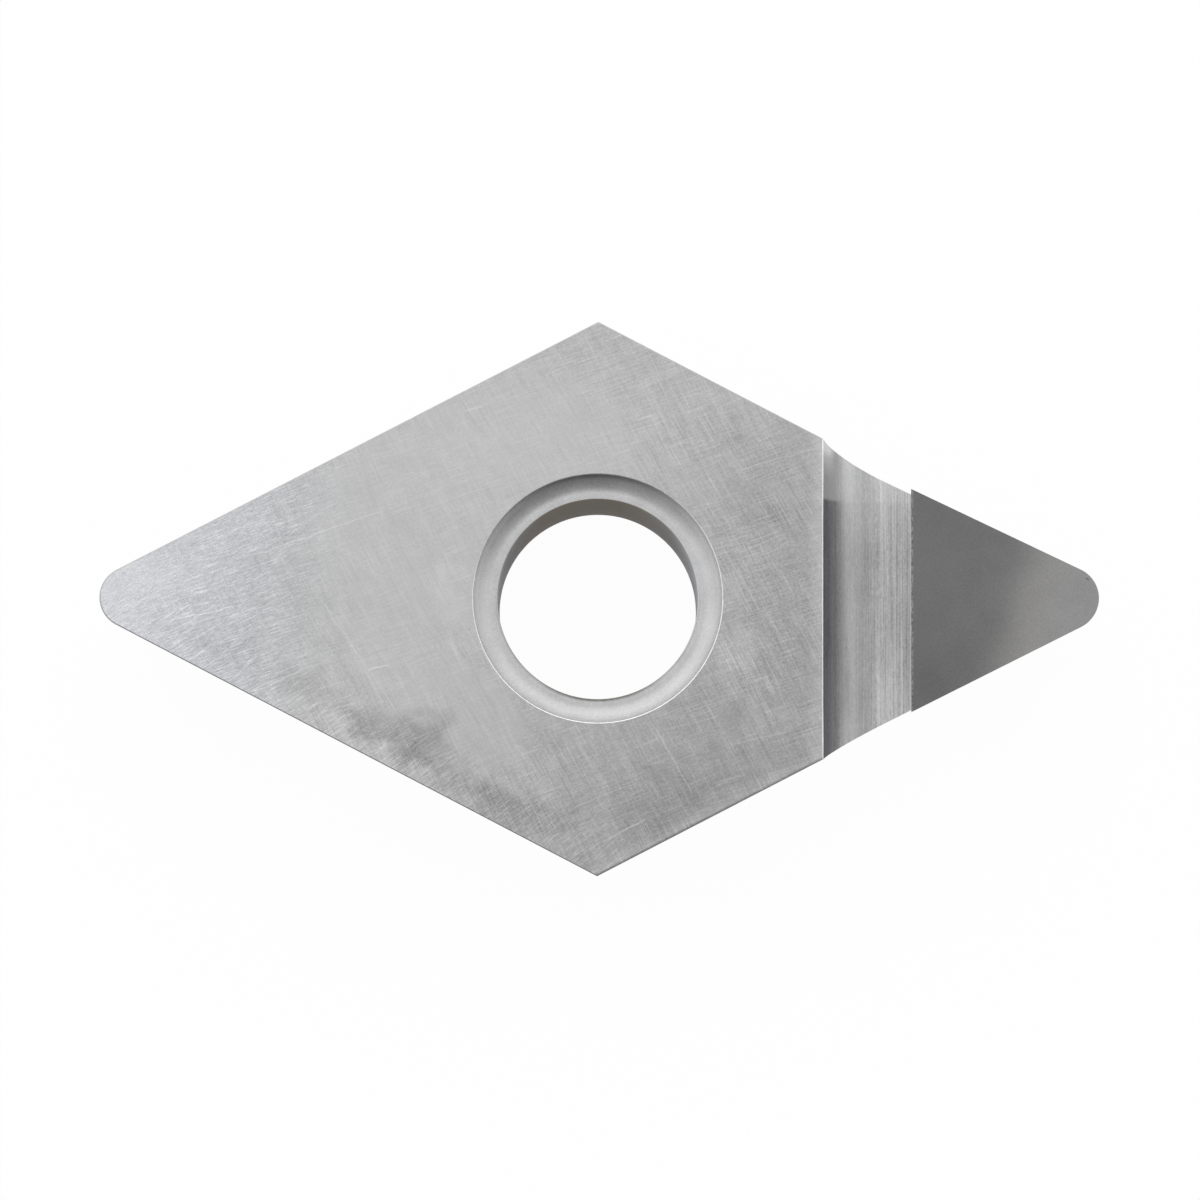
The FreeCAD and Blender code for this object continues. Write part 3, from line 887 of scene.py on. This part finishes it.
def recess_finish(colours):
    """Chip recess: streaks along Y over slow patches and a woven grain, with a matt wall in painted
    shade and a painted highlight along the groove.
    """
    finish = Finish("ground_recess")

    # Streaks, grain and patches of the floor
    fine = finish.noise((0.03, 3.5, 0.03), detail=1)
    dashes = finish.noise((0.035, 0.15, 0.035), (1, 6, 0), detail=1)
    grain = finish.noise((0.05, 0.05, 0.05), (3, 3, 0), detail=1)
    broad = finish.noise((0.25, 2.5, 0.25), (2, 3, 0), detail=2)
    patches = finish.noise((0.45, 0.9, 0.45), (5, 1, 0), detail=2)

    # The wall, from its foot up in three steps, the slow slope of it all, and the +Y end
    along, across = finish.toward(ALONG), finish.toward(ACROSS)
    matt, steep = finish.between(along, 6.5, 6.2), finish.between(along, 6.38, 6.12)
    core, slope = finish.between(along, 6.06, 5.94), finish.between(along, 8.1, 6.0)
    beyond_tip = finish.between(across, 2.56, 2.64)
    corner = finish.total(
        0.0, (finish.between(across, 3.2, 3.65), 0.35), (finish.between(across, 3.68, 3.88), 0.55)
    )
    texture = finish.total(
        -0.875,
        (fine, 0.40),
        (finish.total(-0.5, (fine, 1.0)), finish.between(along, 6.7, 8.0), 0.6),
        (dashes, 0.40),
        (grain, 0.35),
        (broad, 0.35),
        (patches, 0.25),
    )
    # Painted shade on the steep wall, darkest near its top edge and less dark beyond the tip; a
    # painted highlight along the groove; painted reflections lighten the top of the wall at its +Y end
    tone = finish.total(
        0.77,
        (texture, finish.total(1.0, (steep, -0.5)), 1.0),
        (finish.between(along, 6.9, 7.3), -0.035),
        (steep, -0.49),
        (core, -0.14),
        (finish.patch((6.52, 0), (0.40, 20)), 0.30),
        (corner, finish.between(along, 6.14, 5.98), 1.0),
        (slope, 0.22),
        (finish.total(1.0, (steep, -1.0)), finish.between(across, 1.2, 2.6), 0.24),
        (finish.between(along, 6.8, 7.3), finish.between(across, -1.0, -2.4), 0.22),
        (beyond_tip, finish.total(0.06, (steep, 0.35), (core, 0.1)), 1.0),
    )
    behind_tip = finish.math("SUBTRACT", 1.0, beyond_tip)
    tinted = finish.times(finish.between(along, 6.2, 5.95), behind_tip)
    colour = finish.blend(tinted, colours.recess, colours.wall)
    bare = finish.total(1.0, (matt, -1.0))
    return finish.metal(colour, tone, roughness=0.36, metallic=bare, specular=0.0)


def rim_finish(colours):
    """Honed rim of the top face, with painted shade along its -Y side."""
    finish = Finish("honed_rim")
    nicks = finish.noise((0.12, 0.12, 0.12), detail=2)
    lit = finish.between(finish.toward(ACROSS), -0.6, 0.6)
    return finish.metal(colours.ground, finish.total(0.55, (nicks, 0.4), (lit, 0.3)), roughness=0.2)


def flank_finish(name, colour):
    """Flanks: fine lines along the edge, parallel to the seat."""
    finish = Finish(name)
    lines = finish.noise((3.0, 3.0, 0.025), detail=3, roughness=0.6)
    patches = finish.noise((1.5, 1.5, 0.8), (4, 4, 0), detail=2)
    tone = finish.total(0.7, (lines, 0.4), (patches, 0.2))
    return finish.metal(colour, tone, roughness=0.32, height=lines, depth=LINE_DEPTH)


def pressed_grain(finish):
    """The fine grain of pressed powder, and the slow patches in it."""
    grain = finish.noise((0.05, 0.05, 0.05), detail=2, roughness=0.7)
    return grain, finish.noise((0.6, 0.6, 0.6), (2, 2, 2), detail=2)


def dish_finish(colours):
    """Dish: the fine grain of pressed carbide, with a flat land that darkens at the bore's lip in
    painted shade, and painted light and shade on its hollow wall.
    """
    finish = Finish("pressed_dish")
    grain, patches = pressed_grain(finish)
    across = finish.toward(ACROSS)
    out = finish.vector("LENGTH", finish.vector("MULTIPLY", finish.place, (1, 1, 0)))
    slope, steep = finish.between(out, 2.74, 2.88), finish.between(out, 3.06, 3.16)
    north = finish.math("MAXIMUM", finish.total(-2.2, (across, 1.0)), 0.0)
    lower_half = finish.between(across, 0.3, -0.3, 0.0, 0.25)
    darkest = finish.math("MAXIMUM", finish.between(across, -1.8, -2.65), lower_half)
    # Painted light on the hollow wall, most on its steep outer part; painted shade on the land at the
    # bore's lip, strongest on the -Y side, and on the wall's +Y side
    tone = finish.total(
        0.62,
        (grain, 0.4),
        (patches, 0.2),
        (across, 0.02),
        (slope, 0.12),
        (finish.between(out, 2.67, 2.61), darkest, -0.60),
        (slope, finish.far_side(), -0.22),
        (steep, 0.35),
        (steep, north, -0.52),
    )
    return finish.metal(colours.pressed, tone, roughness=0.5, height=grain, depth=GRAIN_DEPTH)


def mouth_finish(colours):
    """Rim of the dish: painted bright as a highlight, with painted shade on its far side."""
    finish = Finish("highlit_mouth")
    nicks = finish.noise((0.15, 0.15, 0.15), detail=3, roughness=0.7)
    tone = finish.total(0.82, (nicks, 0.6), (finish.far_side(), -0.25))
    return finish.metal(colours.edge, tone, roughness=0.25)


def bore_finish(colours):
    """Bore wall: as pressed, dull and slightly tanned, and paler at both sides in painted light."""
    finish = Finish("bore_wall")
    grain, patches = pressed_grain(finish)
    along = finish.toward(ALONG)
    east, west = finish.between(along, 0.6, 2.4), finish.between(along, -1.4, -2.4)
    # Painted light: the wall grows paler towards its +X and -X sides, most at their very ends
    tone = finish.total(
        0.7,
        (grain, 0.4),
        (patches, 0.2),
        (east, 0.55),
        (west, 0.25),
        (finish.between(along, 1.9, 2.56), 0.9),
        (finish.between(along, -2.35, -2.58), 0.7),
    )
    colour = finish.blend(finish.math("MAXIMUM", east, west), colours.bore, colours.lit_bore_side)
    return finish.metal(colour, tone, roughness=0.7, height=grain, depth=GRAIN_DEPTH, metallic=0.0)


def diamond_finish(colours):
    """Rake face: polished diamond with a faint grain, a small pit and a chipped back edge."""
    finish = Finish("polished_diamond")
    grain = finish.noise((0.05, 0.05, 0.05), detail=2, roughness=0.7)
    clouds = finish.noise((0.8, 0.8, 0.8), (3, 3, 3), detail=2)
    pit = finish.scratch((12.54, 0.52), (12.62, 0.46), 0.05)
    warm = finish.patch((11.15, -0.3), (0.9, 2.8), -17)
    back = finish.between(finish.toward(ALONG), 8.15, 8.11)
    chips = finish.between(finish.noise((0.05, 0.11, 0.05), (4, 1, 0), detail=1), 0.4, 0.6, -0.3, 1.4)
    # Painted shade over the -Y part of the rake face, from the two patches
    tone = finish.total(
        0.70,
        (grain, 0.4),
        (clouds, 0.2),
        (pit, -0.5),
        (finish.patch((8.4, -2.6), (3.2, 2.6)), -0.14),
        (finish.patch((10.4, -1.2), (1.8, 1.6)), -0.06),
        (back, chips, 0.5),
    )
    colour = finish.blend(warm, colours.diamond, colours.diamond_warm)
    return finish.metal(colour, tone, roughness=0.045)


def back_finish(colours):
    """Back wall of the tip: matt and dark where it stands over the braze."""
    finish = Finish("matt_diamond")
    grain = finish.noise((0.05, 0.05, 0.05), detail=2)
    tone = finish.total(0.6, (grain, 0.8))
    return finish.metal(colours.diamond, tone, roughness=0.6, metallic=0.0, specular=0.0)


def braze_finish(colours):
    """Braze: a bright film, streaked along Y where it was ground."""
    finish = Finish("silver_braze")
    streaks = finish.noise((0.03, 0.3, 0.03), detail=2)
    return finish.metal(colours.braze, finish.total(0.6, (streaks, 0.8)), roughness=0.35)


# Stage


def make_floor(settings):
    """A plain white floor that still takes the insert's shadow."""
    half = settings.floor_size / 2
    corners = [(-half, -half, 0), (half, -half, 0), (half, half, 0), (-half, half, 0)]
    mesh = bpy.data.meshes.new("floor")
    mesh.from_pydata(corners, [], [(0, 1, 2, 3)])
    floor = add_object("floor", mesh)

    finish = Finish("white_floor")
    seen = finish.new("ShaderNodeLightPath").outputs
    direct = finish.math("MAXIMUM", seen["Is Camera Ray"], seen["Is Glossy Ray"])
    direct = finish.math("MAXIMUM", direct, seen["Is Transmission Ray"])
    diffuse = finish.new("ShaderNodeBsdfDiffuse", {"Color": (*settings.floor_white, 1)}).outputs[0]
    glow = finish.new("ShaderNodeEmission").outputs[0]
    inputs = {0: finish.times(direct, settings.floor_glow), 1: diffuse, 2: glow}
    surface = finish.new("ShaderNodeMixShader", inputs).outputs[0]
    finish.new("ShaderNodeOutputMaterial", {"Surface": surface})
    mesh.materials.append(finish.material)


def make_world(settings):
    """A pale surround that is brighter to one side and towards its foot."""
    world = bpy.data.worlds.new("surround")
    world.use_nodes = True
    nodes = Nodes(world.node_tree)
    rise = settings.surround_rise
    direction = nodes.new("ShaderNodeTexCoord").outputs["Generated"]
    lean = nodes.vector("DOT_PRODUCT", direction, (*settings.surround_lean, -rise))
    strength = nodes.math("ADD", lean, settings.surround + rise)
    strength = nodes.math("MAXIMUM", strength, settings.surround_least)
    inputs = {"Color": (1, 1, 1, 1), "Strength": strength}
    background = nodes.new("ShaderNodeBackground", inputs).outputs[0]
    nodes.new("ShaderNodeOutputWorld", {"Surface": background})
    bpy.context.scene.world = world


def make_lamp(settings):
    """A soft lamp above the -X end."""
    light = bpy.data.lights.new("soft_lamp", "AREA")
    light.shape = "RECTANGLE"
    light.size, light.size_y = settings.lamp_width, settings.lamp_length
    light.energy = settings.lamp_glow * math.pi * light.size * light.size_y
    lamp = add_object("soft_lamp", light)
    lamp.location = settings.lamp_place
    lamp.rotation_euler.z = settings.lamp_turn


def make_camera(settings):
    """The photograph's view: nearly straight down, leaning towards -Y."""
    data = bpy.data.cameras.new("camera")
    data.lens = data.sensor_width * settings.distance / settings.view_width
    data.clip_start = 1 * MM
    camera = add_object("camera", data)
    aim = Vector((settings.aim_x, settings.aim_y, THICKNESS))
    back = Vector((0, -math.sin(settings.tilt), math.cos(settings.tilt)))
    turned = Matrix.Rotation(settings.tilt, 4, "X") @ Matrix.Rotation(settings.roll, 4, "Z")
    camera.matrix_world = Matrix.Translation(aim + back * settings.distance) @ turned
    bpy.context.scene.camera = camera


# Operators


def finish_piece(piece, node):
    """Hands a finished piece to the frame."""
    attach(piece, "root")
    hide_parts(node)


class INSERT_OT_body(bpy.types.Operator):
    """Models the ground carbide body"""

    bl_idname = "insert.body"
    bl_label = "Carbide body"

    def execute(self, context):
        colours = context.scene.insert_colours
        finishes = {
            "ground": ground_finish(colours),
            "rim": rim_finish(colours),
            "seat": flank_finish("ground_seat", colours.flank),
            "flank": flank_finish("ground_flank", colours.flank),
            "recess": recess_finish(colours),
            "edge": edge_finish(colours),
            "dish": dish_finish(colours),
            "mouth": mouth_finish(colours),
            "bore": bore_finish(colours),
        }
        sizes = context.scene.insert_sizes
        mesh = build_body(sizes, finishes)
        recess_index = list(finishes).index("recess")
        in_recess = mesh.attributes.new("in_recess", "BOOLEAN", "FACE")
        chosen = [polygon.material_index == recess_index for polygon in mesh.polygons]
        in_recess.data.foreach_set("value", chosen)
        body = add_object("carbide_body", mesh)
        marks = {
            "Depth": sizes.mark_depth,
            "Spacing": sizes.mark_spacing,
            "Seed": MARK_SEED,
            "Finish": finishes["recess"],
        }
        apply_tree(body, grinding_tree(), marks)
        finish_piece(body, "insert_body")
        return {"FINISHED"}


class INSERT_OT_tip(bpy.types.Operator):
    """Models the diamond corner on its carbide backing"""

    bl_idname = "insert.tip"
    bl_label = "Diamond tip"

    def execute(self, context):
        colours = context.scene.insert_colours
        finishes = {
            "rake": diamond_finish(colours),
            "edge": flank_finish("ground_diamond", colours.diamond),
            "backing": flank_finish("ground_backing", colours.backing),
            "back": back_finish(colours),
        }
        tip = add_object("diamond_corner", build_tip(context.scene.insert_sizes, finishes))
        finish_piece(tip, "diamond_tip")
        return {"FINISHED"}


class INSERT_OT_braze(bpy.types.Operator):
    """Models the braze film round the tip"""

    bl_idname = "insert.braze"
    bl_label = "Braze seam"

    def execute(self, context):
        finishes = {"braze": braze_finish(context.scene.insert_colours)}
        film = add_object("braze_film", build_braze(context.scene.insert_sizes, finishes))
        finish_piece(film, "braze_seam")
        return {"FINISHED"}


class INSERT_OT_stage(bpy.types.Operator):
    """Sets the floor, the surround, the lamp and the camera"""

    bl_idname = "insert.stage"
    bl_label = "Studio"

    def execute(self, context):
        settings = context.scene.insert_stage
        make_floor(settings)
        make_world(settings)
        make_lamp(settings)
        make_camera(settings)
        context.scene.view_settings.view_transform = "Standard"
        return {"FINISHED"}


class INSERT_PT_panel(bpy.types.Panel):
    """Lists the insert's pieces and settings"""

    bl_idname = "INSERT_PT_panel"
    bl_label = "Turning insert"
    bl_space_type = "VIEW_3D"
    bl_region_type = "UI"
    bl_category = "Insert"

    def draw(self, context):
        layout = self.layout
        for operator in OPERATORS:
            layout.operator(operator.bl_idname)
        for group in (
            context.scene.insert_sizes,
            context.scene.insert_colours,
            context.scene.insert_stage,
        ):
            box = layout.box()
            for key in group.__annotations__:
                box.prop(group, key)


OPERATORS = (INSERT_OT_body, INSERT_OT_tip, INSERT_OT_braze, INSERT_OT_stage)
GROUPS = {
    "insert_sizes": InsertSizes,
    "insert_colours": InsertColours,
    "insert_stage": StageSettings,
}


def register():
    for kind in (*GROUPS.values(), *OPERATORS, INSERT_PT_panel):
        bpy.utils.register_class(kind)
    for name, kind in GROUPS.items():
        setattr(bpy.types.Scene, name, bpy.props.PointerProperty(type=kind))


def unregister():
    for name in GROUPS:
        delattr(bpy.types.Scene, name)
    for kind in (INSERT_PT_panel, *reversed(OPERATORS), *GROUPS.values()):
        bpy.utils.unregister_class(kind)


def main():
    register()
    bpy.ops.insert.body()
    bpy.ops.insert.tip()
    bpy.ops.insert.braze()
    bpy.ops.insert.stage()


if __name__ == "__main__":
    main()
